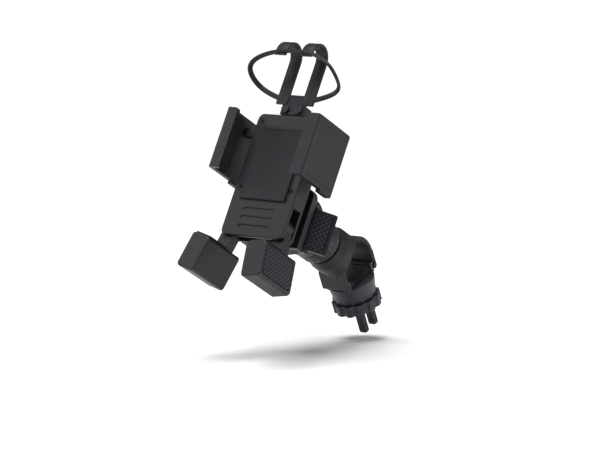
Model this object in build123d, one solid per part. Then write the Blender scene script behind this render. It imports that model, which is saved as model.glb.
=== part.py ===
from build123d import *
import math
import os

os.makedirs("parts", exist_ok=True)

# Phone handlebar mount, millimetres. Origin: middle of the handlebar bore. X runs along the handlebar,
# -Y is towards the rider, +Z is up.

# ---- handlebar clamp (clamp frame: z away from the knob, y across, x along the bar) ----
BAR_R = 15.9
LINER_T = 1.4
RING_IN = BAR_R + LINER_T
RING_OUT = 20.5
CLAMP_W = 25.0
KNOB_TILT = 24.0
SPLIT_LOW = 15.6
FIN_OUT = 16.9
FIN_IN = 13.8
GROOVE_DEEP = 1.5
GROOVE_TOP = -9.2
GROOVE_BOTTOM = -12.0
SLIDE_GAP = 0.25
COLLAR_R_TOP = 19.2
COLLAR_R_LOW = 16.8
COLLAR_TOP = -16.2
COLLAR_LOW = -31.0
POCKET_HALF = 13.4
POCKET_R = 3.0
POCKET_FLOOR = -28.0
SADDLE_HALF = 13.0
SADDLE_BOTTOM = -20.0
BOSS_R = 6.5
BOSS_BOTTOM = -23.6
SCREW_R = 3.0
SCREW_TOP = -20.8
SCREW_SEAT = 2.5
LINER_FROM = 14.0
LINER_TO = 166.0
SADDLE_SWEEP = 44.0
LEG_ROUND = 2.4
CLIP_R = 5.0
WHEEL_R = 19.6
WHEEL_TOP = -31.6
WHEEL_LOW = -41.0
SCALLOPS = 12
SCALLOP_R = 3.4
WING_LOW = -60.5
WING_X = 5.0
WING_Y = 6.4
WING_WIDE = 3.8
WING_THICK = 2.9
RIB_DEEP = 0.45
WING_RIBS = 6
RIB_STEP = 2.3
SEAM = 0.02

# ---- cradle frame: x across the phone, y up along it, z out of the screen ----
LEAN = 29.0
CRADLE_Y = -136.0
CRADLE_Z = 34.3
JOINT_L = 35.9
PHONE_HALF = 39.5
PHONE_THICK = 15.0

# ---- ball joint, all on the line y = JOINT_L ----
BALL_Z = -92.0
BALL_R = 10.0
BALL_FIT = 0.05
CUP_GAP = 1.6
CUP_DEEP = 5.6
CUP_R = 12.0
NUT_R = 18.0
NUT_FRONT = -86.0
NUT_BACK = -107.5
NUT_RIBS = 24
NUT_MOUTH_R = 10.0
ROUND_FROM = -96.0
ROUND_R = 18.5
DISH_R = 18.9
DISH_FLAT_R = 6.5
DISH_RIM_R = 16.2
DISH_RIM_Z = -103.0
DISH_WIDE_Z = -110.5
NECK_LONG = 25.0
NECK_LOW = 9.0
THREAD_R = 15.2
NECK_R = 5.5
FLANGE_Z = -110.9
FLANGE_R = 18.6
PEG_R = 4.0
PEG_LONG = 6.0

# ---- rear drum and anti-vibration plate ----
DRUM_R = 25.0
DRUM_BACK = -66.0
REAR_HALF = 27.0
REAR_LOW = 9.0
REAR_HIGH = 58.0
REAR_TOP_R = 8.0
REAR_FRONT = -41.0
REAR_BACK = -49.0
DAMPER_X = 15.0
DAMPER_Y = (22.0, 46.0)
DAMPER_R = 6.0
WAIST = 1.6
LUG_T = 2.6
LUG_GAP = 0.4

# ---- cradle box with the jaw gears ----
BOX_HALF = 30.0
BOX_LOW = 6.0
BOX_HIGH = 107.0
COVER_FRONT = -16.6
COVER_BACK = -19.2
BOX_BACK = -31.0
BOX_WALL = 2.4
BRACKET_HIGH = 115.5
BRACKET_HALF = 11.0
SCREW_X = 24.5
SCREW_Y = (45.0, 100.5)
CORE_R = 1.4
HEAD_R = 2.9
HEAD_DEEP = 1.5
SLOT_COUNT = 3
SLOT_HALF = 15.5
SLOT_LOW = 12.5
SLOT_STEP = 7.0
SLOT_WIDE = 3.0
SLOT_DEEP = 0.7
EDGE_R = 5.0
BUTTON_X = 6.5
BUTTON_Y = 111.8
BUTTON_R = 2.0
GEAR_Y = 80.0
GEAR_TEETH = 10
GEAR_MODULE = 1.5
GEAR_Z0 = -26.6
GEAR_Z1 = -21.4
RACK_HALF = 3.5
RACK_START = -18.0
RACK_TEETH = 9
TOOTH_ROOT_W = 2.2
TOOTH_TIP_W = 0.6
TOOTH_HIGH = 1.9

# ---- jaws ----
JAW_LOW = 52.0
JAW_HIGH = 102.0
HEEL_LOW = 49.8
HEEL_FRONT = -24.0
JAW_IN = 40.5
JAW_OUT = 45.0
JAW_BACK = -38.5
LIP_IN = 34.0
LIP_Z0 = 1.0
LIP_Z1 = 4.2

# ---- legs and feet (leg frame: origin on the pivot, y up the leg) ----
PIVOT_X = 22.5
PIVOT_Y = 17.5
SPLAY_RIGHT = 9.0
SPLAY_LEFT = 13.0
LEG_Z0 = -28.3
LEG_Z1 = -19.8
HUB_R = 7.0
PIN_R = 2.5
RUN_GAP = 0.06
FOOT_TOP = -21.5
FOOT_LOW = -50.5
FOOT_HALF = 9.0
FOOT_FRONT = 5.5
FOOT_BACK = -35.5
GRIP_EDGE = 2.4
GRIP_GAP = 0.5
GRIP_R = 3.0

# ---- release paddles ----
PADDLE_X = 24.5
PADDLE_Z = -52.5
PADDLE_LOW = 12.5
PADDLE_HIGH = 45.5
PADDLE_LONG = 17.0
PADDLE_BACK = -1.5
PADDLE_FACE = 2.9
SPRING_R = 2.1
PADDLE_TURN = 42.0
PADDLE_PIN_R = 1.5

# ---- silicone band ----
BAND_X = 12.5
STRAP_HALF = 5.5
STRAP_T = 2.2
ARCH_Y = 151.0
ARCH_HIGH = 12.2
STRAP_FRONT = 3.4
STRAP_BACK = -18.6
PAD_LOW = 107.6
PAD_HIGH = 124.0
CORD_R = 1.9
PAD_HALF = 11.0
PAD_FRONT = -16.8
PAD_BACK = -19.0

tilt = math.radians(LEAN)
cradle_plane = Plane(
    origin=(0, CRADLE_Y, CRADLE_Z),
    x_dir=(1, 0, 0),
    z_dir=(0, -math.cos(tilt), math.sin(tilt)),
)
roll = math.radians(KNOB_TILT)
clamp_plane = Plane(
    origin=(0, 0, 0),
    x_dir=(1, 0, 0),
    z_dir=(0, -math.sin(roll), math.cos(roll)),
)


def span(x0, x1, y0, y1, z0, z1):
    """Box between two corners."""
    block = Box(abs(x1 - x0), abs(y1 - y0), abs(z1 - z0))
    return Pos((x0 + x1) / 2, (y0 + y1) / 2, (z0 + z1) / 2) * block


def rod_z(r, z0, z1, x=0.0, y=0.0):
    """Cylinder along z."""
    return Pos(x, y, (z0 + z1) / 2) * Cylinder(r, abs(z1 - z0))


def rod_x(r, x0, x1, y=0.0, z=0.0):
    """Cylinder along x."""
    return Pos((x0 + x1) / 2, y, z) * Rot(0, 90, 0) * Cylinder(r, abs(x1 - x0))


def rod_y(r, y0, y1, x=0.0, z=0.0):
    """Cylinder along y."""
    return Pos(x, (y0 + y1) / 2, z) * Rot(90, 0, 0) * Cylinder(r, abs(y1 - y0))


def soft_box(x0, x1, y0, y1, z0, z1, r, axis=Axis.Z):
    """Box whose edges along one axis are rounded."""
    block = span(x0, x1, y0, y1, z0, z1)
    return fillet(block.edges().filter_by(axis), r)


def turned(profile, x=0.0, y=0.0):
    """Solid of revolution about a z line, from a list of (radius, z)."""
    face = make_face(Polyline([(r, 0, z) for r, z in profile], close=True))
    return Pos(x, y, 0) * revolve(face, Axis.Z, 360)


def mirrored(shape):
    """The same piece on the other side of the middle plane."""
    return mirror(shape, about=Plane.YZ)


def save(name, shape, plane):
    """Place a piece from its own frame and write it."""
    if isinstance(shape, list):
        shape = Compound(children=[Part(one.wrapped) for one in shape])
    export_step(plane.location * shape, f"parts/{name}.step")


def arc_sector(r_in, r_out, a0, a1, x0, x1):
    """Part of a ring round the x axis, angles in degrees from +y towards +z."""
    mid = (a0 + a1) / 2
    points = []
    for r, angles in ((r_out, (a0, mid, a1)), (r_in, (a1, mid, a0))):
        points.append([
            (x0, r * math.cos(math.radians(a)), r * math.sin(math.radians(a))) for a in angles
        ])
    outer = ThreePointArc(*points[0])
    inner = ThreePointArc(*points[1])
    edges = [outer, Line(outer @ 1, inner @ 0), inner, Line(inner @ 1, outer @ 0)]
    return extrude(make_face(edges), x1 - x0, dir=(1, 0, 0))


# ================= handlebar clamp =================
half_w = CLAMP_W / 2
to_clamp = clamp_plane.location.inverse()
joint_to_clamp = to_clamp * cradle_plane.location

upper = arc_sector(RING_IN, RING_OUT, -0.01, 180.01, -half_w, half_w)
for side in (1, -1):
    leg = span(-half_w, half_w, side * RING_IN, side * RING_OUT, -SPLIT_LOW, 0.05)
    upper += leg
neck = turned([
    (0, FLANGE_Z - NECK_LONG), (FLANGE_R, FLANGE_Z - NECK_LONG), (FLANGE_R, DISH_WIDE_Z),
    (DISH_RIM_R, DISH_RIM_Z), (0, DISH_RIM_Z),
], 0, JOINT_L)
neck -= Pos(0, JOINT_L, BALL_Z) * Sphere(DISH_R)
neck -= rod_z(DISH_FLAT_R, FLANGE_Z, BALL_Z, 0, JOINT_L)
neck -= rod_z(PEG_R, FLANGE_Z - PEG_LONG, FLANGE_Z + 1, 0, JOINT_L)
neck = joint_to_clamp * neck
inside = rod_x(RING_IN, -40, 40) + span(-40, 40, -RING_IN, RING_IN, -60, 0)
below = span(-40, 40, -60, 60, -80, -NECK_LOW)
clamp_body = upper + (neck - inside - below)
for side in (1, -1):
    clamp_body -= span(
        -half_w - 1, half_w + 1,
        side * (RING_IN - 1), side * (RING_IN + GROOVE_DEEP),
        GROOVE_BOTTOM, GROOVE_TOP,
    )
corner = [
    e for e in clamp_body.edges().filter_by(Axis.X)
    if abs(abs(e.center().Y) - RING_OUT) < 0.01 and abs(e.center().Z + SPLIT_LOW) < 0.01
]
clamp_body = fillet(corner, LEG_ROUND)
rim = [
    e for e in clamp_body.edges().filter_by(GeomType.CIRCLE)
    if abs(e.radius - RING_OUT) < 0.01 and abs(abs(e.center().X) - half_w) < 0.01
]
clamp_body = fillet(rim, 1.0)

clamp_liner = arc_sector(BAR_R, RING_IN, LINER_FROM, LINER_TO, -half_w + 0.6, half_w - 0.6)

ball_stud = Pos(0, JOINT_L, BALL_Z) * Sphere(BALL_R)
ball_stud += rod_z(NECK_R, FLANGE_Z, BALL_Z - 6, 0, JOINT_L)
ball_stud += rod_z(PEG_R, FLANGE_Z - PEG_LONG, FLANGE_Z, 0, JOINT_L)

# sliding bridge that carries the knob
bridge = turned([
    (0, COLLAR_TOP), (COLLAR_R_TOP - 0.8, COLLAR_TOP), (COLLAR_R_TOP, COLLAR_TOP - 0.8),
    (COLLAR_R_LOW, COLLAR_LOW), (0, COLLAR_LOW),
])
bridge -= soft_box(
    -half_w + 0.6, half_w - 0.6, -POCKET_HALF, POCKET_HALF, POCKET_FLOOR, -10, POCKET_R,
)
bridge -= rod_z(SCREW_R + RUN_GAP, COLLAR_LOW - 1, POCKET_FLOOR + 1)
for side in (1, -1):
    fin = span(
        -half_w + 1, half_w - 1, side * FIN_IN, side * FIN_OUT,
        COLLAR_TOP - 1.5, GROOVE_TOP - SLIDE_GAP,
    )
    lip = span(
        -half_w + 1, half_w - 1,
        side * (FIN_OUT - 1), side * (RING_IN + GROOVE_DEEP - SLIDE_GAP),
        GROOVE_BOTTOM + SLIDE_GAP, GROOVE_TOP - SLIDE_GAP,
    )
    bridge += fin + lip

saddle = soft_box(-half_w + 1, half_w - 1, -SADDLE_HALF, SADDLE_HALF, SADDLE_BOTTOM, -11.6, POCKET_R - 0.2)
saddle -= rod_x(RING_IN, -half_w, half_w)
saddle += rod_z(BOSS_R, BOSS_BOTTOM, SADDLE_BOTTOM)
saddle -= rod_z(SCREW_R + RUN_GAP, BOSS_BOTTOM - 1, -10)
saddle_pad = arc_sector(
    BAR_R, RING_IN, 270 - SADDLE_SWEEP, 270 + SADDLE_SWEEP, -half_w + 1.5, half_w - 1.5,
)

wheel = rod_z(WHEEL_R, WHEEL_LOW, WHEEL_TOP)
for i in range(SCALLOPS):
    turn = 360.0 * i / SCALLOPS
    wheel -= Rot(0, 0, turn) * rod_z(SCALLOP_R, WHEEL_LOW - 1, WHEEL_TOP + 1, WHEEL_R + 1.6, 0)
wheel = chamfer(wheel.faces().sort_by(Axis.Z)[0].outer_wire().edges(), 0.8)
wheel -= rod_z(SCREW_R, WHEEL_LOW + SCREW_SEAT, WHEEL_TOP + 1)
wing_list = []
for side in (1, -1):
    wing = soft_box(-WING_WIDE, WING_WIDE, -WING_THICK, WING_THICK, WING_LOW, WHEEL_LOW - SEAM, 2.2)
    tip = wing.faces().sort_by(Axis.Z)[0]
    wing = fillet(tip.edges(), 1.8)
    for k in range(WING_RIBS):
        z = WING_LOW + 4.0 + RIB_STEP * k
        wide, thick = WING_WIDE - RIB_DEEP, WING_THICK - RIB_DEEP
        core = span(-wide, wide, -thick, thick, z, z + 1)
        wing -= span(-6, 6, -6, 6, z, z + 1) - core
    wing_list.append(Pos(WING_X, side * WING_Y, 0) * wing)

clamp_screw = rod_z(SCREW_R, WHEEL_LOW + SCREW_SEAT, SCREW_TOP)
retaining_clip = rod_z(CLIP_R, POCKET_FLOOR + 0.2, POCKET_FLOOR + 1.0)
retaining_clip -= rod_z(SCREW_R, POCKET_FLOOR - 1, POCKET_FLOOR + 2)

save("clamp_body", clamp_body, clamp_plane)
save("clamp_liner", clamp_liner, clamp_plane)
save("ball_stud", ball_stud, cradle_plane)
save("clamp_bridge", bridge, clamp_plane)
save("saddle", saddle, clamp_plane)
save("saddle_pad", saddle_pad, clamp_plane)
save("knob_wheel", wheel, clamp_plane)
save("knob_wings", wing_list, clamp_plane)
save("clamp_screw", clamp_screw, clamp_plane)
save("retaining_clip", retaining_clip, clamp_plane)

# ================= ball joint =================
ball_space = Pos(0, JOINT_L, BALL_Z) * Sphere(BALL_R + BALL_FIT)
cup_space = Pos(0, JOINT_L, BALL_Z) * Sphere(CUP_R + RUN_GAP)
cup_ball = Pos(0, JOINT_L, BALL_Z) * Sphere(CUP_R)
shell = cup_ball - ball_space
front_cup = shell & span(-20, 20, 0, 80, BALL_Z + CUP_GAP, BALL_Z + 20)
rear_cup = shell & span(-20, 20, 0, 80, BALL_Z - CUP_DEEP, BALL_Z - CUP_GAP)

ring_nut = turned([
    (THREAD_R + RUN_GAP, NUT_FRONT), (NUT_R, NUT_FRONT), (NUT_R, NUT_BACK),
    (NUT_MOUTH_R, NUT_BACK), (NUT_MOUTH_R, BALL_Z - 1.0),
    (THREAD_R + RUN_GAP, BALL_Z - 1.0),
], 0, JOINT_L)
ring_nut -= cup_space
round_back = Pos(0, JOINT_L, BALL_Z) * Sphere(ROUND_R)
ring_nut -= rod_z(NUT_R + 5, NUT_BACK - 5, ROUND_FROM, 0, JOINT_L) - round_back
for i in range(NUT_RIBS):
    turn = 360.0 * i / NUT_RIBS
    groove = rod_z(0.6, ROUND_FROM, NUT_FRONT - 1.5, NUT_R + 0.3, 0)
    ring_nut -= Pos(0, JOINT_L, 0) * Rot(0, 0, turn) * groove

save("ball_cup_front", front_cup, cradle_plane)
save("ball_cup_rear", rear_cup, cradle_plane)
save("ring_nut", ring_nut, cradle_plane)

# ================= rear drum, plate and dampers =================
drum = turned([
    (0, REAR_BACK + 0.5), (DRUM_R, REAR_BACK + 0.5), (DRUM_R, DRUM_BACK + 2), (DRUM_R - 2, DRUM_BACK),
    (NUT_R + 1.4, -77.0), (NUT_R, NUT_FRONT + 0.8), (THREAD_R, NUT_FRONT + 0.8),
    (THREAD_R, BALL_Z - 0.6), (0, BALL_Z - 0.6),
], 0, JOINT_L)
drum -= cup_space
drum -= rod_z(THREAD_R + 8, BALL_Z - 10, BALL_Z - 0.6, 0, JOINT_L)
rear_plate = span(-REAR_HALF, REAR_HALF, REAR_LOW, REAR_HIGH, REAR_BACK, REAR_FRONT)
top_corners = [e for e in rear_plate.edges().filter_by(Axis.Z) if e.center().Y > REAR_HIGH - 1]
rear_plate = fillet(top_corners, REAR_TOP_R)
rear_plate = fillet(rear_plate.faces().sort_by(Axis.Z)[0].edges(), 3.0)
rear_housing = rear_plate + drum
lug_low = PADDLE_LOW - LUG_GAP
lug_high = PADDLE_HIGH + LUG_GAP


def paddle_rod(side):
    """Rod along the pin line of one paddle, through both lugs."""
    return rod_y(PADDLE_PIN_R, lug_low - LUG_T, lug_high + LUG_T, side * PADDLE_X, PADDLE_Z)


for side in (1, -1):
    x_in = side * (PADDLE_X - 3.4)
    rear_housing -= span(x_in, side * (REAR_HALF + 5), lug_low, lug_high, -90, REAR_BACK)
    for y0, y1 in ((lug_low - LUG_T, lug_low), (lug_high, lug_high + LUG_T)):
        lug = span(side * (PADDLE_X - 3.2), side * (PADDLE_X + 2.4), y0, y1, PADDLE_Z - 2.4, REAR_BACK + 0.5)
        rear_housing += lug
    rear_housing -= paddle_rod(side)

dampers = []
for side in (1, -1):
    for y in DAMPER_Y:
        bush = turned([
            (0, BOX_BACK), (DAMPER_R, BOX_BACK), (DAMPER_R, BOX_BACK - 2.6),
            (DAMPER_R - WAIST, BOX_BACK - 4), (DAMPER_R - WAIST, BOX_BACK - 6),
            (DAMPER_R, BOX_BACK - 7.4), (DAMPER_R, REAR_FRONT), (0, REAR_FRONT),
        ], side * DAMPER_X, y)
        dampers.append(bush)

save("rear_housing", rear_housing, cradle_plane)
save("vibration_dampers", dampers, cradle_plane)

# ================= cradle box =================
box = soft_box(-BOX_HALF, BOX_HALF, BOX_LOW, BOX_HIGH, BOX_BACK, COVER_BACK, EDGE_R)
room = span(
    -BOX_HALF + BOX_WALL, BOX_HALF - BOX_WALL, BOX_LOW + 34, BOX_HIGH - BOX_WALL,
    BOX_BACK + BOX_WALL, COVER_BACK + 1,
)
box -= room
leg_room = span(-BOX_HALF - 1, BOX_HALF + 1, BOX_LOW - 1, 33.0, LEG_Z0 - 0.3, COVER_BACK + 1)
box -= leg_room
pitch_r = GEAR_MODULE * GEAR_TEETH / 2
rack_pitch = math.pi * GEAR_MODULE
rack_line = pitch_r + GEAR_MODULE
for side, y_mid in ((1, GEAR_Y - rack_line - RACK_HALF), (-1, GEAR_Y + rack_line + RACK_HALF)):
    slot = span(
        side * (BOX_HALF - BOX_WALL - 1), side * (BOX_HALF + 1),
        y_mid - RACK_HALF - 0.3, y_mid + RACK_HALF + 2.2, GEAR_Z0 - 0.3, COVER_BACK + 1,
    )
    if side < 0:
        slot = span(
            side * (BOX_HALF - BOX_WALL - 1), side * (BOX_HALF + 1),
            y_mid - RACK_HALF - 2.2, y_mid + RACK_HALF + 0.3, GEAR_Z0 - 0.3, COVER_BACK + 1,
        )
    box -= slot
box += rod_z(PIN_R, BOX_BACK + 0.5, GEAR_Z1, 0, GEAR_Y)
box += span(-BRACKET_HALF, BRACKET_HALF, BOX_HIGH - BOX_WALL, BRACKET_HIGH, -26.0, -19.3)
for side in (1, -1):
    box -= rod_z(BUTTON_R, -24.0, -18, side * BUTTON_X, BUTTON_Y)
screw_spots = [(side * SCREW_X, y) for y in SCREW_Y for side in (-1, 1)]
for x, y in screw_spots:
    box += rod_z(3.2, BOX_BACK + 0.5, COVER_BACK, x, y)
    box -= rod_z(CORE_R, BOX_BACK + 3, COVER_BACK + 1, x, y)
for side in (1, -1):
    box -= rod_z(PIN_R, BOX_BACK + 0.8, COVER_BACK, side * PIVOT_X, PIVOT_Y)

cover = soft_box(-BOX_HALF, BOX_HALF, BOX_LOW, BOX_HIGH, COVER_BACK, COVER_FRONT, EDGE_R)
cover = chamfer(cover.faces().sort_by(Axis.Z)[-1].edges(), 0.6)
for k in range(SLOT_COUNT):
    y = SLOT_LOW + SLOT_STEP * k
    cover -= soft_box(-SLOT_HALF, SLOT_HALF, y, y + SLOT_WIDE, COVER_FRONT - SLOT_DEEP, COVER_FRONT + 1, 1.4)
for side in (1, -1):
    cover -= rod_z(PIN_R, COVER_BACK - 1, COVER_BACK + 1.6, side * PIVOT_X, PIVOT_Y)
for x, y in screw_spots:
    cover -= rod_z(CORE_R + 0.1, COVER_BACK - 1, COVER_FRONT + 1, x, y)
    cover -= rod_z(HEAD_R, COVER_FRONT - HEAD_DEEP, COVER_FRONT + 1, x, y)

screws = []
for x, y in screw_spots:
    screw = rod_z(HEAD_R, COVER_FRONT - HEAD_DEEP, COVER_FRONT - 0.1, x, y)
    screw += rod_z(CORE_R, BOX_BACK + 3.2, COVER_FRONT - HEAD_DEEP, x, y)
    screw -= rod_z(1.0, COVER_FRONT - 1.0, COVER_FRONT + 1, x, y)
    screws.append(screw)

front_pad = soft_box(-22.0, 22.0, 36.0, 96.0, COVER_FRONT, -PHONE_THICK, 4.0)

pins = []
for side in (1, -1):
    pins.append(rod_z(PIN_R, BOX_BACK + 0.8, COVER_BACK + 1.6, side * PIVOT_X, PIVOT_Y))

save("cradle_box", box, cradle_plane)
save("cradle_cover", cover, cradle_plane)
save("cover_screws", screws, cradle_plane)
save("phone_pad", front_pad, cradle_plane)
save("leg_pins", pins, cradle_plane)

# ================= pinion and jaws =================
def tooth(r_root, r_tip, w_root, w_tip):
    """One straight-sided gear tooth pointing along +x."""
    return make_face(Polyline([
        (r_root, -w_root / 2), (r_tip, -w_tip / 2), (r_tip, w_tip / 2), (r_root, w_root / 2),
    ], close=True))


pinion = rod_z(pitch_r - TOOTH_HIGH, GEAR_Z0, GEAR_Z1)
for i in range(GEAR_TEETH):
    one = extrude(tooth(pitch_r - 2.2, pitch_r + 1.1, TOOTH_ROOT_W, TOOTH_TIP_W), GEAR_Z1 - GEAR_Z0)
    pinion += Rot(0, 0, 90 + 360.0 * i / GEAR_TEETH) * Pos(0, 0, GEAR_Z0) * one
pinion -= rod_z(PIN_R + RUN_GAP, GEAR_Z0 - 1, GEAR_Z1 + 1)
pinion = Pos(0, GEAR_Y, 0) * pinion


def make_jaw():
    """Right-hand jaw with its rack."""
    wall = span(JAW_IN, JAW_OUT, JAW_LOW, JAW_HIGH, JAW_BACK, LIP_Z1)
    front = span(LIP_IN, JAW_OUT, JAW_LOW, JAW_HIGH, LIP_Z0, LIP_Z1)
    heel = span(JAW_IN, JAW_OUT, HEEL_LOW, JAW_LOW + 1, JAW_BACK, HEEL_FRONT)
    jaw = wall + front + heel
    outer = [
        e for e in jaw.edges().filter_by(Axis.Y)
        if abs(e.center().X - JAW_OUT) < 0.01 and abs(e.center().Z - LIP_Z1) < 0.01
    ]
    jaw = fillet(outer, 2.2)
    inner = [
        e for e in jaw.edges().filter_by(Axis.Z)
        if abs(e.center().X - LIP_IN) < 0.01
    ]
    jaw = fillet(inner, 2.5)
    back = [
        e for e in jaw.edges().filter_by(Axis.X)
        if abs(e.center().Z - JAW_BACK) < 0.01
    ]
    return fillet(back, 2.0)


def rack_bar(y_mid, tooth_side):
    """Bar from the jaw wall to past the gear, toothed on the side that faces the gear."""
    bar = span(RACK_START, JAW_IN + 0.5, y_mid - RACK_HALF, y_mid + RACK_HALF, GEAR_Z0, GEAR_Z1)
    face = y_mid + tooth_side * RACK_HALF
    half_root = TOOTH_ROOT_W / 2
    half_tip = TOOTH_TIP_W / 2
    for k in range(RACK_TEETH):
        x = (round((RACK_START + 2.0) / rack_pitch) + k + 0.5) * rack_pitch
        if x > BOX_HALF - 4:
            continue
        one = make_face(Polyline([
            (x - half_root, face - tooth_side * 0.2), (x - half_tip, face + tooth_side * TOOTH_HIGH),
            (x + half_tip, face + tooth_side * TOOTH_HIGH), (x + half_root, face - tooth_side * 0.2),
        ], close=True))
        bar += Pos(0, 0, GEAR_Z0) * extrude(one, GEAR_Z1 - GEAR_Z0, dir=(0, 0, 1))
    return bar


jaw_shell = make_jaw()
lower_mid = GEAR_Y - rack_line - RACK_HALF
upper_mid = GEAR_Y + rack_line + RACK_HALF
right_jaw = jaw_shell + rack_bar(lower_mid, 1)
left_jaw = mirrored(jaw_shell + rack_bar(upper_mid, -1))
jaw_pad = span(PHONE_HALF, JAW_IN, JAW_LOW + 3, JAW_HIGH - 3, -PHONE_THICK, -1.0)
jaw_pad = fillet(jaw_pad.edges().filter_by(Axis.X), 3.0)

save("gear_pinion", pinion, cradle_plane)
save("jaw_right", right_jaw, cradle_plane)
save("jaw_left", left_jaw, cradle_plane)
save("jaw_pad_right", jaw_pad, cradle_plane)
save("jaw_pad_left", mirrored(jaw_pad), cradle_plane)


# ================= legs =================
def grip_panel(edge, x_out):
    """Rounded panel in the outer side of the foot, edge being its distance from the foot's outline."""
    return soft_box(
        FOOT_HALF - 1.0, x_out, FOOT_LOW + edge, FOOT_TOP - edge,
        FOOT_BACK + edge, FOOT_FRONT - edge, GRIP_R, Axis.X,
    )


def make_leg():
    """Leg in its own frame: pivot at the origin, foot below."""
    arm = rod_z(HUB_R, LEG_Z0, LEG_Z1)
    arm += span(-6.0, 6.0, FOOT_TOP - 2, 0, LEG_Z0, LEG_Z1)
    foot = soft_box(-FOOT_HALF, FOOT_HALF, FOOT_LOW, FOOT_TOP, FOOT_BACK, FOOT_FRONT, 3.0)
    front_edges = foot.faces().sort_by(Axis.Z)[-1].edges()
    foot = fillet(front_edges, 1.2)
    leg = arm + foot
    leg -= grip_panel(GRIP_EDGE, FOOT_HALF + 1)
    leg -= rod_z(PIN_R + RUN_GAP, LEG_Z0 - 1, LEG_Z1 + 1)
    return leg


def place_leg(shape, splay):
    """Right-hand leg piece turned out from straight down by the splay angle."""
    return Pos(PIVOT_X, PIVOT_Y, 0) * Rot(0, 0, splay) * shape


foot_grip = grip_panel(GRIP_EDGE + GRIP_GAP, FOOT_HALF + 0.3)
foot_rest = soft_box(
    -FOOT_HALF + 1.5, FOOT_HALF - 1.5, FOOT_TOP, FOOT_TOP + 1.2,
    LEG_Z1 + 1, FOOT_FRONT - 2, 2.0, Axis.Y,
)
leg_pieces = (("leg", make_leg()), ("foot_grip", foot_grip), ("foot_rest", foot_rest))
for name, piece in leg_pieces:
    save(f"{name}_right", place_leg(piece, SPLAY_RIGHT), cradle_plane)
    save(f"{name}_left", mirrored(place_leg(piece, SPLAY_LEFT)), cradle_plane)


# ================= release paddles =================
def make_paddle():
    """Paddle in its own frame: pin at the origin, blade along +x."""
    blade = span(0, PADDLE_LONG, PADDLE_LOW, PADDLE_HIGH, PADDLE_BACK, PADDLE_FACE)
    blade = fillet([e for e in blade.edges().filter_by(Axis.Z) if e.center().X > 1], 1.5)
    rib = span(PADDLE_LONG - 2.6, PADDLE_LONG, PADDLE_LOW + 1.5, PADDLE_HIGH - 1.5, 0, PADDLE_FACE + 0.8)
    knuckle = rod_y(PADDLE_FACE, PADDLE_LOW, PADDLE_HIGH)
    paddle = blade + rib + knuckle
    mid = (PADDLE_LOW + PADDLE_HIGH) / 2
    paddle -= span(-3.2, 3.2, mid - 4.5, mid + 4.5, -3.2, SPRING_R + 0.35)
    paddle -= rod_y(PADDLE_PIN_R + RUN_GAP, PADDLE_LOW - 1, PADDLE_HIGH + 1)
    return paddle


def place_paddle(shape):
    return Pos(PADDLE_X, 0, PADDLE_Z) * Rot(0, PADDLE_TURN, 0) * shape


paddle_grip = span(
    0.0, PADDLE_LONG - 3.0, PADDLE_LOW + 1.5, PADDLE_HIGH - 1.5, PADDLE_FACE, PADDLE_FACE + 0.5,
)
paddle_right = place_paddle(make_paddle())
save("paddle_right", paddle_right, cradle_plane)
save("paddle_left", mirrored(paddle_right), cradle_plane)
save("paddle_grip_right", place_paddle(paddle_grip), cradle_plane)
save("paddle_grip_left", mirrored(place_paddle(paddle_grip)), cradle_plane)
paddle_pins = [paddle_rod(side) for side in (1, -1)]
save("paddle_pins", paddle_pins, cradle_plane)
springs = []
paddle_mid = (PADDLE_LOW + PADDLE_HIGH) / 2
for side in (1, -1):
    coil = rod_y(SPRING_R, paddle_mid - 3.5, paddle_mid + 3.5, side * PADDLE_X, PADDLE_Z)
    coil -= rod_y(1.6, paddle_mid - 5, paddle_mid + 5, side * PADDLE_X, PADDLE_Z)
    springs.append(coil)
save("paddle_springs", springs, cradle_plane)


# ================= silicone band =================
band = span(-PAD_HALF, PAD_HALF, PAD_LOW, PAD_HIGH, PAD_BACK, PAD_FRONT)
arch_mid = (STRAP_FRONT + STRAP_BACK) / 2
arch_half = (STRAP_FRONT - STRAP_BACK) / 2
for side in (1, -1):
    outer = Ellipse(ARCH_HIGH, arch_half)
    inner = Ellipse(ARCH_HIGH - STRAP_T, arch_half - STRAP_T)
    rim = Plane(origin=(side * BAND_X - STRAP_HALF, ARCH_Y, arch_mid), x_dir=(0, 1, 0), z_dir=(1, 0, 0))
    strap = extrude(rim * (outer - inner), 2 * STRAP_HALF)
    strap &= span(-40, 40, ARCH_Y - 1.0, 200, -60, 60)
    strap += span(
        side * BAND_X - STRAP_HALF, side * BAND_X + STRAP_HALF,
        PAD_HIGH - 8, ARCH_Y, STRAP_BACK, STRAP_BACK + STRAP_T,
    )
    band += strap
half_path = [
    (8, 118.5, -17.6), (27, 123.5, -17.8), (39.0, 129, -17.0), (42.2, 133, -9.0),
    (41.4, 138, 0.0), (35.5, 144, 3.0), (23, 149.6, 3.1), (10, 151.6, 3.1),
]
loop = half_path + [(0, 152, 3.1)] + [(-x, y, z) for x, y, z in reversed(half_path)]
cord_line = Spline(*loop)
section = Plane(origin=cord_line @ 0, z_dir=cord_line % 0) * Circle(CORD_R)
band += sweep(section, path=cord_line)
for side in (1, -1):
    band -= rod_z(BUTTON_R, -22, -14, side * BUTTON_X, BUTTON_Y)
buttons = []
for side in (1, -1):
    button = rod_z(BUTTON_R, -24.0, PAD_FRONT + 0.1, side * BUTTON_X, BUTTON_Y)
    button += rod_z(3.4, PAD_FRONT + 0.1, -15.4, side * BUTTON_X, BUTTON_Y)
    buttons.append(button)
save("silicone_band", band, cradle_plane)
save("band_buttons", buttons, cradle_plane)
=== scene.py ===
import math

import bmesh
import bpy
from bpy.props import FloatProperty, FloatVectorProperty, IntProperty, PointerProperty
from mathutils import Matrix, Vector


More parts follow.
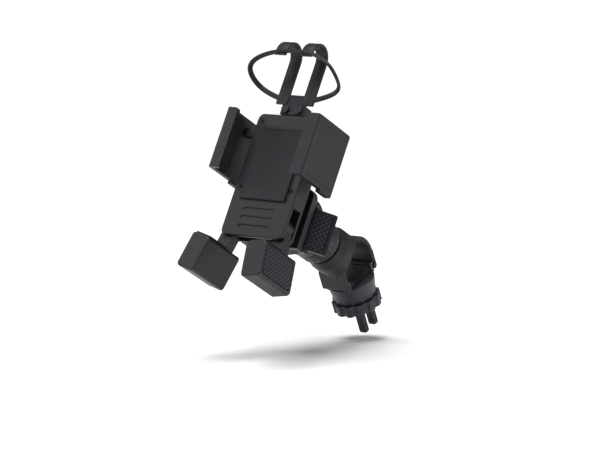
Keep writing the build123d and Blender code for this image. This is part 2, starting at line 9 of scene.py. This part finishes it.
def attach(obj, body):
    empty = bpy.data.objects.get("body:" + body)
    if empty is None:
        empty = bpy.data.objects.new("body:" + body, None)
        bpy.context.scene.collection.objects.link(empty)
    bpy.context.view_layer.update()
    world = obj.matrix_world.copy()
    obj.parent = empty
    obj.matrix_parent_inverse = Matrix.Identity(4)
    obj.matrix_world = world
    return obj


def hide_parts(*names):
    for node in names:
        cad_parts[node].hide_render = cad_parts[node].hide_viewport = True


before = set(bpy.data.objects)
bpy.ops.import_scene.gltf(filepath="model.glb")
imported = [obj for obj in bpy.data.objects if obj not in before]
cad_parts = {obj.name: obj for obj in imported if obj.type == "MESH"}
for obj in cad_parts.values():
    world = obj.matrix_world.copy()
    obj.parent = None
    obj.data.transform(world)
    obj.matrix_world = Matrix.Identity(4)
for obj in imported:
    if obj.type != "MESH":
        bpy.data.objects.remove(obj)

bl_info = {
    "name": "Handlebar Phone Mount",
    "version": (1, 0, 0),
    "blender": (4, 5, 0),
    "location": "3D View > Sidebar > Phone Mount",
    "description": "Builds the looks of a handlebar phone mount round its CAD frame",
    "category": "Object",
}

MM = 0.001
LEAN = math.radians(29.0)
KNOB_TILT = math.radians(24.0)
CRADLE_AT = Vector((0.0, -136.0, 34.3)) * MM

# Cradle frame: x across the phone, y up along it, z out of its screen.
CRADLE = Matrix.Translation(CRADLE_AT) @ Matrix((
    (1, 0, 0, 0),
    (0, math.sin(LEAN), -math.cos(LEAN), 0),
    (0, math.cos(LEAN), math.sin(LEAN), 0),
    (0, 0, 0, 1),
))
# Clamp frame: x along the handlebar, z away from the knob.
CLAMP = Matrix((
    (1, 0, 0, 0),
    (0, math.cos(KNOB_TILT), -math.sin(KNOB_TILT), 0),
    (0, math.sin(KNOB_TILT), math.cos(KNOB_TILT), 0),
    (0, 0, 0, 1),
))
RIGHT_SPLAY = math.radians(9.0)
LEFT_SPLAY = math.radians(13.0)
PADDLE_FLARE = math.radians(42.0)
LEG_PIN = (22.5, 17.5, 0)
PADDLE_PIN = (24.5, 0, -52.5)
FLOOR_Z = -64 * MM
CAMERA_TURN = math.radians(38.3)
CAMERA_RISE = math.radians(7.2)
CAMERA_AWAY = 2.490
CAMERA_LENS = 190.26


def on_cradle(side, spot, angle, axis):
    """Frame of a piece hinged on one side of the cradle, its pin at spot in millimetres."""
    place = Vector((side * spot[0], spot[1], spot[2])) * MM
    return CRADLE @ Matrix.Translation(place) @ Matrix.Rotation(side * angle, 4, axis)


RIGHT_LEG = on_cradle(1, LEG_PIN, RIGHT_SPLAY, "Z")
LEFT_LEG = on_cradle(-1, LEG_PIN, LEFT_SPLAY, "Z")
RIGHT_PADDLE = on_cradle(1, PADDLE_PIN, PADDLE_FLARE, "Y")
LEFT_PADDLE = on_cradle(-1, PADDLE_PIN, PADDLE_FLARE, "Y")


class MountColours(bpy.types.PropertyGroup):
    shell: FloatVectorProperty(
        name="Shell", description="Colour of the moulded shell", subtype="COLOR",
        size=3, min=0, max=1, default=(0.0110, 0.0101, 0.0145),
    )
    rubber: FloatVectorProperty(
        name="Rubber", description="Colour of pads and grips", subtype="COLOR",
        size=3, min=0, max=1, default=(0.0098, 0.0091, 0.0126),
    )
    silicone: FloatVectorProperty(
        name="Silicone", description="Colour of the top band", subtype="COLOR",
        size=3, min=0, max=1, default=(0.0115, 0.0106, 0.0150),
    )
    steel: FloatVectorProperty(
        name="Steel", description="Colour of pins, screws and the ball", subtype="COLOR",
        size=3, min=0, max=1, default=(0.075, 0.075, 0.08),
    )
    floor: FloatVectorProperty(
        name="Floor", description="Colour of the floor", subtype="COLOR",
        size=3, min=0, max=1, default=(0.93, 0.93, 0.93),
    )


class MountSizes(bpy.types.PropertyGroup):
    grain: FloatProperty(
        name="Grain", description="Size of the moulded grain", subtype="DISTANCE",
        unit="LENGTH", default=0.00045, min=0.0001, max=0.01,
    )
    dot_pitch: FloatProperty(
        name="Dot pitch", description="Distance between grip dots", subtype="DISTANCE",
        unit="LENGTH", default=0.0023, min=0.0005, max=0.01,
    )
    edge_round: FloatProperty(
        name="Edge round", description="How far light rounds a sharp moulded edge",
        subtype="DISTANCE", unit="LENGTH", default=0.0007, min=0.0, max=0.005,
    )
    band_lobe: FloatProperty(
        name="Band lobe", description="Half width of the grooved top band", subtype="DISTANCE",
        unit="LENGTH", default=0.0021, min=0.0005, max=0.01,
    )
    spring_turns: IntProperty(
        name="Spring turns", description="Turns in a paddle spring", default=7, min=2, max=20,
    )


# ---------------------------------------------------------------- shader maths
class Sock:
    """A shader socket that takes part in Python arithmetic."""

    def __init__(self, paint, out):
        self.paint = paint
        self.out = out

    def _math(self, operation, a, b=None):
        values = {0: a} if b is None else {0: a, 1: b}
        return self.paint.node("ShaderNodeMath", {"operation": operation}, values)[0]

    def __add__(self, other):
        return self._math("ADD", self, other)

    __radd__ = __add__

    def __mul__(self, other):
        return self._math("MULTIPLY", self, other)

    __rmul__ = __mul__

    def __sub__(self, other):
        return self._math("SUBTRACT", self, other)

    def __rsub__(self, other):
        return self._math("SUBTRACT", other, self)

    def __gt__(self, other):
        return self._math("GREATER_THAN", self, other)

    def sin(self):
        return self._math("SINE", self)

    def abs(self):
        return self._math("ABSOLUTE", self)

    def clamp(self):
        return self._math("MINIMUM", self._math("MAXIMUM", self, 0.0), 1.0)


class Paint:
    """One material and the single method that adds its nodes."""

    def __init__(self, name):
        self.material = bpy.data.materials.new(name)
        self.material.use_nodes = True
        self.tree = self.material.node_tree
        self.tree.nodes.clear()
        self.shader = self.tree.nodes.new("ShaderNodeBsdfPrincipled")
        out = self.tree.nodes.new("ShaderNodeOutputMaterial")
        self.tree.links.new(self.shader.outputs[0], out.inputs[0])

    def node(self, kind, settings=None, values=None):
        """Adds a node, sets its settings, then its sockets, and returns its outputs."""
        made = self.tree.nodes.new(kind)
        for key, value in (settings or {}).items():
            if key == "stops":
                ramp = made.color_ramp
                while len(ramp.elements) < len(value):
                    ramp.elements.new(0.5)
                for element, (place, colour) in zip(ramp.elements, value):
                    element.position = place
                    element.color = colour
            else:
                setattr(made, key, value)
        for key, value in (values or {}).items():
            self.plug(made.inputs[key], value)
        return [Sock(self, s) for s in made.outputs if s.enabled]

    def plug(self, socket, value):
        if isinstance(value, Sock):
            self.tree.links.new(value.out, socket)
        else:
            socket.default_value = value

    def set(self, **values):
        for key, value in values.items():
            self.plug(self.shader.inputs[key.replace("_", " ")], value)

    def place(self, matrix=None):
        """Object coordinates, turned into a piece's own frame."""
        point = self.node("ShaderNodeTexCoord")[3]
        if matrix is None:
            return point
        spot, turn, _ = matrix.inverted().decompose()
        return self.node("ShaderNodeMapping", {"vector_type": "POINT"}, {
            "Vector": point, "Location": spot, "Rotation": turn.to_euler(),
        })[0]

    def split(self, vector):
        return self.node("ShaderNodeSeparateXYZ", None, {0: vector})

    def noise(self, vector, size, detail=3.0, rough=0.55):
        return self.node("ShaderNodeTexNoise", None, {
            "Vector": vector, "Scale": 1.0 / size, "Detail": detail, "Roughness": rough,
        })[0]

    def mix(self, factor, a, b):
        """Colour a where factor is 0 and b where it is 1."""
        rgba = [c if isinstance(c, Sock) else (*c, 1.0) for c in (a, b)]
        return self.node("ShaderNodeMix", {"data_type": "RGBA"}, {0: factor, 6: rgba[0], 7: rgba[1]})[0]

    def bump(self, height, depth, strength=1.0, base=None):
        values = {"Height": height, "Distance": depth, "Strength": strength}
        if base is not None:
            values["Normal"] = base
        return self.node("ShaderNodeBump", None, values)[0]

    def soft_edge(self, radius):
        return self.node("ShaderNodeBevel", {"samples": 4}, {"Radius": radius})[0]


def lift(colour, by):
    return tuple(min(1.0, c * by) for c in colour)


def moulded_shell(name, rough=0.46, tone=1.0):
    """Fine-grained moulded plastic with dust in the grain and softly lit edges."""
    colours, sizes = bpy.context.scene.mount_colours, bpy.context.scene.mount_sizes
    paint = Paint(name)
    at = paint.place()
    grain = paint.noise(at, sizes.grain, 2.0, 0.6)
    patch = paint.noise(at, 0.018, 4.0)
    fine = paint.noise(at, 0.004, 3.0)
    base = lift(colours.shell, tone)
    colour = paint.mix((patch * 0.7 + fine * 0.3).clamp(), lift(base, 0.86), lift(base, 1.18))
    paint.set(
        Base_Color=colour,
        Roughness=(rough - 0.05 + patch * 0.08 + grain * 0.06).clamp(),
        Normal=paint.bump(grain, 0.00006, 0.5, paint.soft_edge(sizes.edge_round)),
    )
    paint.shader.inputs["Specular IOR Level"].default_value = 0.45
    return paint.material


def jaw_shell(name):
    """Moulded jaw with a scored line round its outer wall, that line also painted dark as painted shade
    in its groove, and polished lip corners.
    """
    colours, sizes = bpy.context.scene.mount_colours, bpy.context.scene.mount_sizes
    paint = Paint(name)
    at = paint.place()
    own = paint.split(paint.place(CRADLE))
    grain = paint.noise(at, sizes.grain, 2.0)
    patch = paint.noise(at, 0.018, 4.0)
    mid_y, half_y, mid_z, half_z = 77.0 * MM, 21.0 * MM, -17.6 * MM, 16.6 * MM
    gap_y = (own[1] - mid_y).abs() - half_y
    gap_z = (own[2] - mid_z).abs() - half_z
    nearest = paint.node("ShaderNodeMath", {"operation": "MAXIMUM"}, {0: gap_y, 1: gap_z})[0]
    outside = own[0].abs() > 43.4 * MM
    score_and_shade = (1.0 - nearest.abs() * (1.0 / (0.55 * MM))).clamp() * outside
    lip = own[2] > 0.6 * MM
    worn = (patch * 0.7 + grain * 0.3).clamp()
    colour = paint.mix(worn, lift(colours.shell, 0.9), lift(colours.shell, 1.2))
    # Painted shade: the scored line is painted far darker than the shell, standing in for the shade in
    # its groove; the same mask bumps the groove in below.
    colour = paint.mix((score_and_shade * 0.7).clamp(), colour, lift(colours.shell, 0.35))
    height = grain * 0.12 - score_and_shade
    paint.set(
        Base_Color=colour,
        Roughness=(0.50 - lip * 0.08 + patch * 0.08).clamp(),
        Normal=paint.bump(height, 0.0004, 0.6, paint.soft_edge(sizes.edge_round)),
    )
    paint.shader.inputs["Specular IOR Level"].default_value = 0.45
    return paint.material


def soft_rubber(name, base, rough=0.72):
    """Matt rubber with faint bloom."""
    paint = Paint(name)
    at = paint.place()
    bloom = paint.noise(at, 0.009, 4.0)
    grain = paint.noise(at, 0.0006, 2.0)
    colour = paint.mix(bloom, lift(base, 0.8), lift(base, 1.35))
    paint.set(
        Base_Color=colour,
        Roughness=(rough - 0.06 + bloom * 0.12).clamp(),
        Normal=paint.bump(grain, 0.00008, 0.6),
    )
    paint.shader.inputs["Specular IOR Level"].default_value = 0.35
    return paint.material


def dotted_rubber(name, matrix, axes, base, spread, rise):
    """Rubber with rows of small raised dots on a piece's own face, the dot tops painted lighter and the
    field between them darker as painted highlight and shade.
    """
    sizes = bpy.context.scene.mount_sizes
    paint = Paint(name)
    parts = paint.split(paint.place(matrix))
    turn = 2 * math.pi / (sizes.dot_pitch * spread)
    a = parts[axes[0]] + parts[axes[1]]
    b = parts[axes[0]] - parts[axes[1]]
    waves = (a * (turn * 0.5)).sin() * (b * (turn * 0.5)).sin()
    dots = ((waves.abs() - rise) * (1.4 / (1 - rise))).clamp()
    dust = paint.noise(paint.place(), 0.006, 4.0)
    # Painted highlight and shade: the raised dots are painted up to ten times lighter than the field
    # between them; the dust noise mixed in is random tone.
    colour = paint.mix((dots * 0.8 + dust * 0.2).clamp(), lift(base, 0.5), lift(base, 5.0))
    paint.set(
        Base_Color=colour,
        Roughness=(0.74 - dots * 0.16).clamp(),
        Normal=paint.bump(dots, 0.0003, 0.9),
    )
    paint.shader.inputs["Specular IOR Level"].default_value = 0.4
    return paint.material


def turned_steel(name):
    """Satin steel with fine turning marks."""
    colours = bpy.context.scene.mount_colours
    paint = Paint(name)
    at = paint.place()
    marks = paint.noise(at, 0.0009, 5.0, 0.7)
    smear = paint.noise(at, 0.006, 3.0)
    paint.set(
        Base_Color=paint.mix(smear, lift(colours.steel, 0.8), lift(colours.steel, 1.1)),
        Roughness=(0.24 + marks * 0.16).clamp(),
        Normal=paint.bump(marks, 0.00003, 0.4),
        Metallic=1.0,
    )
    return paint.material


# ---------------------------------------------------------------- modelling helpers
def clear_selection():
    if bpy.context.object and bpy.context.object.mode != "OBJECT":
        bpy.ops.object.mode_set(mode="OBJECT")
    bpy.ops.object.select_all(action="DESELECT")


def pick_faces(test):
    """Selects, in edit mode, the faces of the active mesh that pass a test."""
    bpy.ops.mesh.select_all(action="DESELECT")
    bpy.ops.mesh.select_mode(type="FACE")
    mesh = bmesh.from_edit_mesh(bpy.context.object.data)
    for face in mesh.faces:
        if test(face):
            face.select_set(True)
    bmesh.update_edit_mesh(bpy.context.object.data)


def settle(piece, matrix, body, material, replaces=(), sharp=40):
    """Puts a piece's place into its mesh, shades it and hands it to its body."""
    if bpy.context.object.mode != "OBJECT":
        bpy.ops.object.mode_set(mode="OBJECT")
    bpy.ops.object.select_all(action="DESELECT")
    piece.select_set(True)
    bpy.context.view_layer.objects.active = piece
    bpy.ops.object.transform_apply(location=True, rotation=True, scale=True)
    piece.data.transform(matrix)
    if matrix.determinant() < 0:
        piece.data.flip_normals()
    bpy.ops.object.shade_smooth_by_angle(angle=math.radians(sharp))
    piece.data.materials.clear()
    piece.data.materials.append(material)
    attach(piece, body)
    if replaces:
        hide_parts(*replaces)
    return piece


def block(name, lo, hi):
    """Starts a piece as a block between two corners, millimetres."""
    clear_selection()
    centre = [(a + b) / 2 * MM for a, b in zip(lo, hi)]
    bpy.ops.mesh.primitive_cube_add(size=1, location=centre)
    piece = bpy.context.object
    piece.name = name
    piece.scale = [abs(b - a) * MM for a, b in zip(lo, hi)]
    bpy.ops.object.transform_apply(location=True, rotation=True, scale=True)
    return piece


def round_edges(piece, width, segments=3, angle=30):
    modifier = piece.modifiers.new("edge", "BEVEL")
    modifier.width = width * MM
    modifier.segments = segments
    modifier.limit_method = "ANGLE"
    modifier.angle_limit = math.radians(angle)
    clear_selection()
    piece.select_set(True)
    bpy.context.view_layer.objects.active = piece
    bpy.ops.object.modifier_apply(modifier="edge")


def ribbed_pad(name, lo, hi, face_axis, face_sign, rim, sink):
    """A pad with a raised rim round a sunken field, all edges rounded."""
    piece = block(name, lo, hi)
    bpy.ops.object.mode_set(mode="EDIT")
    pick_faces(lambda f: f.normal[face_axis] * face_sign > 0.9)
    bpy.ops.mesh.inset(thickness=rim * MM, depth=0)
    bpy.ops.mesh.inset(thickness=0.4 * MM, depth=-sink * MM)
    bpy.ops.object.mode_set(mode="OBJECT")
    round_edges(piece, 0.25, 2)
    return piece


def rounded_panel(name, lo, hi, radius):
    """A thin panel facing along x, its outline corners rounded and its rim softened."""
    piece = block(name, lo, hi)
    bpy.ops.object.mode_set(mode="EDIT")
    bpy.ops.mesh.select_mode(type="EDGE")
    bpy.ops.mesh.select_all(action="DESELECT")
    mesh = bmesh.from_edit_mesh(piece.data)
    for edge in mesh.edges:
        a, b = (v.co for v in edge.verts)
        edge.select_set(abs(a.y - b.y) < 1e-6 and abs(a.z - b.z) < 1e-6)
    bmesh.update_edit_mesh(piece.data)
    bpy.ops.mesh.bevel(offset=radius * MM, segments=6)
    bpy.ops.object.mode_set(mode="OBJECT")
    round_edges(piece, 0.3, 2, 50)
    return piece


def sweep_profile(name, points, profile):
    """A smooth tube along points with its own cross-section, as a mesh."""
    clear_selection()
    bpy.ops.curve.primitive_nurbs_path_add()
    path = bpy.context.object
    path.name = name
    path.location = (0, 0, 0)
    curve = path.data
    curve.splines.clear()
    line = curve.splines.new("NURBS")
    line.points.add(len(points) - 1)
    for spot, xyz in zip(line.points, points):
        spot.co = (*[c * MM for c in xyz], 1)
    line.order_u = 4
    line.use_endpoint_u = True
    line.resolution_u = 8
    clear_selection()
    bpy.ops.curve.primitive_bezier_circle_add()
    ring = bpy.context.object
    ring.data.splines.clear()
    shape = ring.data.splines.new("POLY")
    shape.points.add(len(profile) - 1)
    for spot, (x, y) in zip(shape.points, profile):
        spot.co = (x * MM, y * MM, 0, 1)
    shape.use_cyclic_u = True
    curve.dimensions = "3D"
    curve.bevel_mode = "OBJECT"
    curve.bevel_object = ring
    curve.use_fill_caps = True
    clear_selection()
    path.select_set(True)
    bpy.context.view_layer.objects.active = path
    bpy.ops.object.convert(target="MESH")
    bpy.data.objects.remove(ring)
    piece = bpy.context.object
    piece.name = name
    return piece


def rounded_bar(half_w, half_t, r):
    """Cross-section of a flat bar with rounded corners."""
    outline = []
    for cx, cy, start in ((1, 1, 0), (-1, 1, 90), (-1, -1, 180), (1, -1, 270)):
        for k in range(4):
            a = math.radians(start + 30 * k)
            outline.append((cx * (half_w - r) + r * math.cos(a), cy * (half_t - r) + r * math.sin(a)))
    return outline


def join(pieces, name):
    clear_selection()
    for piece in pieces:
        piece.select_set(True)
    bpy.context.view_layer.objects.active = pieces[0]
    bpy.ops.object.join()
    bpy.context.object.name = name
    return bpy.context.object


def dress(nodes, material):
    """Gives carried-over CAD nodes their finish."""
    for node in nodes:
        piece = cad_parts[node]
        for slot in piece.material_slots:
            slot.material = material
        if not piece.material_slots:
            piece.data.materials.append(material)


def aim_lamp(lamp, direction):
    lamp.rotation_mode = "QUATERNION"
    lamp.rotation_quaternion = direction.to_track_quat("-Z", "Y")


# ---------------------------------------------------------------- operators
class PHONEMOUNT_OT_stage(bpy.types.Operator):
    """Pale floor, soft studio light and the camera"""
    bl_idname = "phonemount.stage"
    bl_label = "Stage"

    def execute(self, context):
        clear_selection()
        bpy.ops.mesh.primitive_plane_add(size=24, location=(0, 0, FLOOR_Z))
        floor = context.object
        floor.name = "floor"
        paint = Paint("pale_floor")
        haze = paint.noise(paint.place(), 0.9, 2.0)
        pale = context.scene.mount_colours.floor
        paint.set(Base_Color=paint.mix(haze, pale, lift(pale, 1.01)), Roughness=0.9)
        floor.data.materials.append(paint.material)
        world = bpy.data.worlds.new("studio")
        world.use_nodes = True
        world.node_tree.nodes["Background"].inputs[0].default_value = (1, 1, 1, 1)
        world.node_tree.nodes["Background"].inputs[1].default_value = 0.2
        context.scene.world = world
        clear_selection()
        bpy.ops.object.light_add(type="SUN", location=(0, 0, 2))
        key = context.object
        key.name = "light_key"
        key.data.angle = math.radians(38)
        key.data.energy = 3.25
        aim_lamp(key, Vector((0.10, 0.24, -0.965)))
        for name, place, size, power in (
            ("left", (-1.4, -0.6, 0.7), 0.35, 4.0), ("right", (1.5, 0.3, 0.9), 0.3, 5.0),
        ):
            clear_selection()
            bpy.ops.object.light_add(type="AREA", location=place)
            lamp = context.object
            lamp.name = "light_" + name
            lamp.data.size = size
            lamp.data.energy = power
            aim_lamp(lamp, Vector((0, -0.06, 0.06)) - Vector(place))
        azimuth, elevation = CAMERA_TURN, CAMERA_RISE
        back = Vector((
            math.sin(azimuth) * math.cos(elevation),
            -math.cos(azimuth) * math.cos(elevation),
            math.sin(elevation),
        ))
        right = Vector((math.cos(azimuth), math.sin(azimuth), 0))
        up = back.cross(right)
        clear_selection()
        bpy.ops.object.camera_add()
        camera = context.object
        camera.data.sensor_width = 36
        camera.data.lens = CAMERA_LENS
        camera.data.clip_end = 60
        camera.location = back * CAMERA_AWAY - right * 0.03573 + up * 0.02827
        camera.rotation_mode = "QUATERNION"
        camera.rotation_quaternion = (-back).to_track_quat("-Z", "Y")
        context.scene.camera = camera
        context.scene.view_settings.view_transform = "Standard"
        return {"FINISHED"}


class PHONEMOUNT_OT_shell(bpy.types.Operator):
    """Moulded finish on the cradle, jaws, legs, paddles, clamp and knob, the knob's copy painted
    lighter as painted light
    """
    bl_idname = "phonemount.shell"
    bl_label = "Moulded shell"

    def execute(self, context):
        dress(["cradle_box", "cradle_cover", "leg_left", "leg_right"], moulded_shell("cradle_shell"))
        dress(["jaw_left", "jaw_right"], jaw_shell("jaw_shell"))
        dress(
            ["rear_housing", "paddle_left", "paddle_right", "gear_pinion", "ring_nut"],
            moulded_shell("rear_shell", 0.46, 1.2),
        )
        dress(["clamp_body", "saddle"], moulded_shell("clamp_shell", 0.5, 0.9))
        # Painted light: the bridge, knob wheel and wings get the shell plastic painted 2.5 times
        # lighter, standing in for the light their underside lacks.
        dress(["clamp_bridge", "knob_wheel", "knob_wings"], moulded_shell("knob_shell_painted_lighter", 0.42, 2.5))
        dress(["band_buttons"], moulded_shell("button_shell", 0.4))
        dress(["ball_cup_front", "ball_cup_rear"], moulded_shell("cup_shell", 0.35, 1.4))
        dress(
            ["ball_stud", "cover_screws", "leg_pins", "paddle_pins", "clamp_screw", "retaining_clip"],
            turned_steel("satin_steel"),
        )
        return {"FINISHED"}


class PHONEMOUNT_OT_pads(bpy.types.Operator):
    """Phone pad, jaw pads and foot rests"""
    bl_idname = "phonemount.pads"
    bl_label = "Pads"

    def execute(self, context):
        rubber = soft_rubber("pad_rubber", context.scene.mount_colours.rubber)
        pad = ribbed_pad("phone_pad_soft", (-22, 36, -16.6), (22, 96, -15), 2, 1, 2.0, 0.5)
        settle(pad, CRADLE, "cradle", rubber, ["phone_pad"])
        for side, word in ((1, "right"), (-1, "left")):
            lo = (39.5 * side, 55, -15)
            hi = (40.5 * side, 99, -1)
            pad = ribbed_pad(f"jaw_pad_{word}_soft", lo, hi, 0, -side, 1.5, 0.35)
            settle(pad, CRADLE, f"{word}_jaw", rubber, [f"jaw_pad_{word}"])
            lo, hi = (-7.5, -21.5, -18.8), (7.5, -20.3, 3.5)
            rest = ribbed_pad(f"foot_rest_{word}_soft", lo, hi, 1, 1, 1.2, 0.4)
            leg = RIGHT_LEG if side > 0 else LEFT_LEG
            settle(rest, leg, f"{word}_leg", rubber, [f"foot_rest_{word}"])
        return {"FINISHED"}


class PHONEMOUNT_OT_grips(bpy.types.Operator):
    """Dotted grips on the feet and the paddles"""
    bl_idname = "phonemount.grips"
    bl_label = "Grips"

    def execute(self, context):
        base = context.scene.mount_colours.rubber
        for side, word in ((1, "right"), (-1, "left")):
            leg = RIGHT_LEG if side > 0 else LEFT_LEG
            lo, hi = (8.0 * side, -47.6, -32.6), (9.35 * side, -24.4, 2.6)
            grip = rounded_panel(f"foot_grip_{word}_soft", lo, hi, 3.0)
            dots = dotted_rubber(f"foot_dots_{word}", leg, (1, 2), base, 1.7, 0.4)
            settle(grip, leg, f"{word}_leg", dots, [f"foot_grip_{word}"])
            paddle = RIGHT_PADDLE if side > 0 else LEFT_PADDLE
            grip = block(f"paddle_grip_{word}_soft", (0, 14.0, 2.9), (14.0 * side, 44.0, 3.4))
            round_edges(grip, 0.2, 2)
            dots = dotted_rubber(f"paddle_dots_{word}", paddle, (0, 1), base, 1.8, 0.5)
            settle(grip, paddle, f"{word}_paddle", dots, [f"paddle_grip_{word}"])
        return {"FINISHED"}


class PHONEMOUNT_OT_band(bpy.types.Operator):
    """Elastic top band with its grooved front cord and two straps"""
    bl_idname = "phonemount.band"
    bl_label = "Top band"

    def execute(self, context):
        lobe = context.scene.mount_sizes.band_lobe / MM
        half = [
            (8, 118.5, -17.6), (27, 123.5, -17.8), (39, 129, -17), (42.2, 133, -9),
            (41.4, 138, 0), (35.5, 144, 3), (23, 149.6, 3.1), (10, 151.6, 3.1),
        ]
        points = half + [(0, 152, 3.1)] + [(-x, y, z) for x, y, z in reversed(half)]
        profile = []
        for k in range(32):
            a = 2 * math.pi * k / 32
            groove = 1 - 0.22 * abs(math.sin(a)) ** 3
            profile.append((lobe * math.cos(a), 1.7 * math.sin(a) * groove))
        straps = [sweep_profile("band_cord", points, profile)]
        flat = rounded_bar(5.5, 1.1, 0.75)
        for side in (1, -1):
            x = side * 12.5
            line = [(x, 116, -17.5), (x, 128, -17.5), (x, 140, -17.5), (x, 147, -17.5)]
            for k in range(13):
                a = math.radians(180 - 15 * k)
                line.append((x, 151 + 11.1 * math.sin(a), -7.6 + 9.9 * math.cos(a)))
            line.append((x, 148.6, 2.4))
            straps.append(sweep_profile(f"strap_{side}", line, flat))
        pad = block("band_pad", (-11, 107.6, -19), (11, 124, -16.8))
        bpy.ops.object.mode_set(mode="EDIT")
        pick_faces(lambda f: f.normal.z > 0.9)
        bpy.ops.mesh.inset(thickness=1.6 * MM, depth=0)
        bpy.ops.mesh.inset(thickness=0.4 * MM, depth=-0.4 * MM)
        bpy.ops.object.mode_set(mode="OBJECT")
        round_edges(pad, 0.4, 3)
        straps.append(pad)
        band = join(straps, "silicone_band_soft")
        silicone = soft_rubber("band_silicone", context.scene.mount_colours.silicone, 0.5)
        settle(band, CRADLE, "cradle", silicone, ["silicone_band"], 50)
        return {"FINISHED"}


class PHONEMOUNT_OT_dampers(bpy.types.Operator):
    """Four waisted rubber dampers between the cradle and the rear housing"""
    bl_idname = "phonemount.dampers"
    bl_label = "Dampers"

    def execute(self, context):
        rubber = soft_rubber("damper_rubber", context.scene.mount_colours.rubber, 0.66)
        bushes = []
        outline = [
            (0, -31), (5.7, -31), (6, -31.4), (6, -33.4), (5.2, -34.4), (4.4, -35.2), (4.4, -36.8),
            (5.2, -37.6), (6, -38.4), (6, -40.6), (5.7, -41), (0, -41),
        ]
        for x in (-15, 15):
            for y in (22, 46):
                clear_selection()
                bpy.ops.mesh.primitive_circle_add(
                    vertices=40, radius=6 * MM, location=(x * MM, y * MM, -31 * MM), fill_type="NGON",
                )
                bush = context.object
                bpy.ops.object.transform_apply(location=True)
                bpy.ops.object.mode_set(mode="EDIT")
                bpy.ops.mesh.select_all(action="SELECT")
                centre = (x * MM, y * MM, 0)
                previous = (6.0, -31.0)
                for r, z in outline[1:-1]:
                    step = (0, 0, (z - previous[1]) * MM)
                    bpy.ops.mesh.extrude_region_move(TRANSFORM_OT_translate={"value": step})
                    scale = r / previous[0]
                    bpy.ops.transform.resize(value=(scale, scale, 1), center_override=centre)
                    previous = (r, z)
                bpy.ops.mesh.select_all(action="SELECT")
                bpy.ops.mesh.normals_make_consistent(inside=False)
                bpy.ops.object.mode_set(mode="OBJECT")
                bushes.append(bush)
        bush = join(bushes, "vibration_dampers_soft")
        settle(bush, CRADLE, "cradle", rubber, ["vibration_dampers"], 60)
        return {"FINISHED"}


class PHONEMOUNT_OT_springs(bpy.types.Operator):
    """Wound springs on the paddle pins"""
    bl_idname = "phonemount.springs"
    bl_label = "Paddle springs"

    def execute(self, context):
        turns = context.scene.mount_sizes.spring_turns
        around = [2 * math.pi * k / 8 for k in range(8)]
        wire = [(0.28 * math.cos(a), 0.28 * math.sin(a)) for a in around]
        coils = []
        for side in (1, -1):
            steps = turns * 10
            points = []
            for k in range(steps + 1):
                a = 2 * math.pi * k / 10
                y = 25.5 + 7.0 * k / steps
                points.append((24.5 * side + 1.82 * math.cos(a), y, -52.5 + 1.82 * math.sin(a)))
            coils.append(sweep_profile(f"coil_{side}", points, wire))
        springs = join(coils, "paddle_springs_wound")
        steel = turned_steel("spring_steel")
        settle(springs, CRADLE, "cradle", steel, ["paddle_springs"], 60)
        return {"FINISHED"}


class PHONEMOUNT_OT_liners(bpy.types.Operator):
    """Rubber liners that grip the handlebar"""
    bl_idname = "phonemount.liners"
    bl_label = "Liners"

    def execute(self, context):
        rubber = soft_rubber("liner_rubber", context.scene.mount_colours.rubber, 0.7)
        for name, start, sweep, half, body in (
            ("clamp_liner", 14, 152, 11.9, "clamp"), ("saddle_pad", 226, 88, 11.0, "saddle_block"),
        ):
            clear_selection()
            bpy.ops.mesh.primitive_plane_add(size=1, location=(0, 16.6 * MM, 0), rotation=(0, 0, 0))
            piece = context.object
            piece.name = name + "_soft"
            piece.scale = (2 * half * MM, 1.3 * MM, 1)
            bpy.ops.object.transform_apply(location=True, rotation=True, scale=True)
            bpy.ops.object.mode_set(mode="EDIT")
            bpy.ops.mesh.select_all(action="SELECT")
            bpy.ops.mesh.spin(
                steps=int(sweep / 3), angle=math.radians(sweep),
                center=(0, 0, 0), axis=(1, 0, 0), dupli=False,
            )
            bpy.ops.mesh.select_all(action="SELECT")
            bpy.ops.mesh.normals_make_consistent(inside=False)
            bpy.ops.object.mode_set(mode="OBJECT")
            centre_angle = math.atan2(
                sum(v.co.z for v in piece.data.vertices), sum(v.co.y for v in piece.data.vertices)
            )
            wanted = math.radians(start + sweep / 2)
            piece.data.transform(Matrix.Rotation(wanted - centre_angle, 4, "X"))
            settle(piece, CLAMP, body, rubber, [name])
        return {"FINISHED"}


class PHONEMOUNT_PT_panel(bpy.types.Panel):
    bl_label = "Phone Mount"
    bl_idname = "PHONEMOUNT_PT_panel"
    bl_space_type = "VIEW_3D"
    bl_region_type = "UI"
    bl_category = "Phone Mount"

    def draw(self, context):
        for group in (context.scene.mount_colours, context.scene.mount_sizes):
            for key in group.bl_rna.properties.keys():
                if key not in {"rna_type", "name"}:
                    self.layout.prop(group, key)
        for step in STEPS:
            self.layout.operator(step.bl_idname)


STEPS = (
    PHONEMOUNT_OT_stage,
    PHONEMOUNT_OT_shell,
    PHONEMOUNT_OT_pads,
    PHONEMOUNT_OT_grips,
    PHONEMOUNT_OT_band,
    PHONEMOUNT_OT_dampers,
    PHONEMOUNT_OT_springs,
    PHONEMOUNT_OT_liners,
)
CLASSES = (MountColours, MountSizes, *STEPS, PHONEMOUNT_PT_panel)


def register():
    for one in CLASSES:
        bpy.utils.register_class(one)
    bpy.types.Scene.mount_colours = PointerProperty(type=MountColours)
    bpy.types.Scene.mount_sizes = PointerProperty(type=MountSizes)


def unregister():
    del bpy.types.Scene.mount_sizes
    del bpy.types.Scene.mount_colours
    for one in reversed(CLASSES):
        bpy.utils.unregister_class(one)


def main():
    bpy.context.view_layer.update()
    register()
    for step in STEPS:
        group, name = step.bl_idname.split(".")
        getattr(getattr(bpy.ops, group), name)()


if __name__ == "__main__":
    main()
